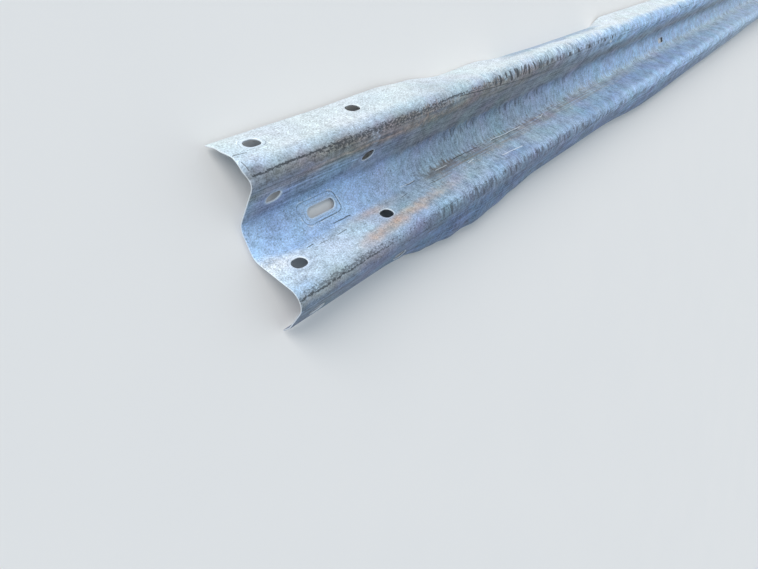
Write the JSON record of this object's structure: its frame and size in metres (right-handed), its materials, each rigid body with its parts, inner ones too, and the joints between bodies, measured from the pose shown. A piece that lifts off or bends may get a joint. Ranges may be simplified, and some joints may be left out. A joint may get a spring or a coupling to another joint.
{
  "type": "highway guardrail w-beam rail section",
  "caption": "Roll-formed galvanised steel W-section rail panel for a roadside guardrail, with slots for post bolts along its valley and splice slots through its webs and flanges at both ends.",
  "frame": {"origin": "on the back of the valley, at mid-length and mid-section, in the middle of the pattern of post bolt slots", "axes": "+X along the rail, +Y across it towards the edge that is the upper one when installed, +Z out of the traffic face"},
  "size_m": [4.128, 0.3397, 0.0893],
  "materials": {
    "galvanised_steel": "weathered hot-dip galvanised, matt blue-grey with pale upper flange, brown dirt bands and black mottled lines along the crests"
  },
  "bodies": {
    "root": {"w_beam_rail": "galvanised_steel"}
  },
  "joints": []
}
